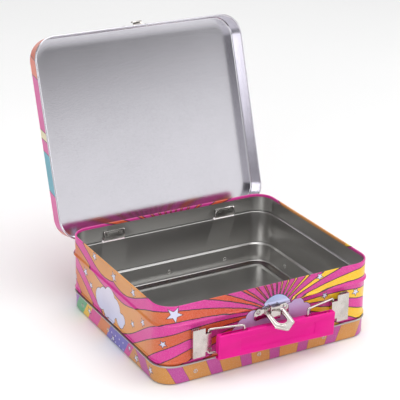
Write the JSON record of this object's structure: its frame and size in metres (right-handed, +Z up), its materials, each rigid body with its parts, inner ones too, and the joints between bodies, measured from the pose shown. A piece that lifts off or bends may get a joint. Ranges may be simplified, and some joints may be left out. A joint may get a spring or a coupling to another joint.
{
  "type": "hinged tin lunch box",
  "caption": "Rounded rectangular tin lunch box with a hinged lid standing open, a front loop latch and a swinging carrying handle on bent wires.",
  "frame": {"origin": "middle of the base, on the plane that the box stands on", "axes": "+Z up; -Y is the front with the latch and the handle, +Y the rear with the hinges; X runs along the width"},
  "size_m": [0.204, 0.2714, 0.2256],
  "materials": {
    "printed_tray": "gloss lithographed tinplate, tan with magenta bands",
    "printed_band": "gloss lithographed tinplate, pink, orange and yellow rays",
    "printed_lid": "printed outside, bare satin tinplate inside",
    "plated_hinge": "dull plated steel",
    "plated_wire": "bright nickel-plated wire",
    "rivets": "bright round-head rivets",
    "bright_plating": "bright nickel-plated pressed steel",
    "pink_plastic": "semi-gloss moulded plastic, hot pink"
  },
  "bodies": {
    "box": {"bottom_tray": "printed_tray", "body_band": "printed_band", "hinge_body_leaf_left": "plated_hinge", "hinge_body_leaf_right": "plated_hinge", "hinge_pin_left": "plated_wire", "hinge_pin_right": "plated_wire", "hinge_body_rivet_left_inner": "rivets", "hinge_body_rivet_left_outer": "rivets", "hinge_body_rivet_right_inner": "rivets", "hinge_body_rivet_right_outer": "rivets", "latch_base": "bright_plating", "latch_rivet_left": "rivets", "latch_rivet_right": "rivets", "handle_bracket_left": "bright_plating", "handle_bracket_right": "bright_plating", "bracket_rivet_left_low": "rivets", "bracket_rivet_left_high": "rivets", "bracket_rivet_right_low": "rivets", "bracket_rivet_right_high": "rivets"},
    "lid": {"lid_shell": "printed_lid", "hinge_lid_leaf_left": "plated_hinge", "hinge_lid_leaf_right": "plated_hinge", "hinge_lid_rivet_left_inner": "rivets", "hinge_lid_rivet_left_outer": "rivets", "hinge_lid_rivet_right_inner": "rivets", "hinge_lid_rivet_right_outer": "rivets", "lid_catch": "bright_plating", "catch_rivet_left": "rivets", "catch_rivet_right": "rivets"},
    "bail": {"latch_bail": "bright_plating"},
    "wire_left": {"handle_wire_left": "plated_wire"},
    "wire_right": {"handle_wire_right": "plated_wire"},
    "grip": {"handle_grip": "pink_plastic"}
  },
  "joints": [
    {"name": "lid_close", "type": "hinge", "parent": "box", "child": "lid", "pos_m": [0, 0.0899, 0.053], "axis": [1, 0, 0], "range_deg": [0, 107.6]},
    {"name": "latch_loop_lift", "type": "hinge", "parent": "box", "child": "bail", "pos_m": [0, -0.0907, 0.047], "axis": [-1, 0, 0], "range_deg": [0, 112.5]},
    {"name": "handle_swing_out", "type": "hinge", "parent": "box", "child": "wire_left", "pos_m": [-0.0583, -0.0875, 0.0329], "axis": [0, 0, -1], "range_deg": [-9.8, 37]},
    {"name": "right_wire_swing", "type": "hinge", "parent": "box", "child": "wire_right", "pos_m": [0.0583, -0.0875, 0.0329], "axis": [0, 0, 1], "range_deg": [-9.8, 37]},
    {"name": "grip_turn", "type": "hinge", "parent": "wire_left", "child": "grip", "pos_m": [-0.02956, -0.09414, 0.0279], "axis": [0, 0, 1], "range_deg": [-9.8, 37]}
  ],
  "couplings": [
    {"joint": "right_wire_swing", "follows": "handle_swing_out", "ratio": 1},
    {"joint": "grip_turn", "follows": "handle_swing_out", "ratio": 1}
  ]
}
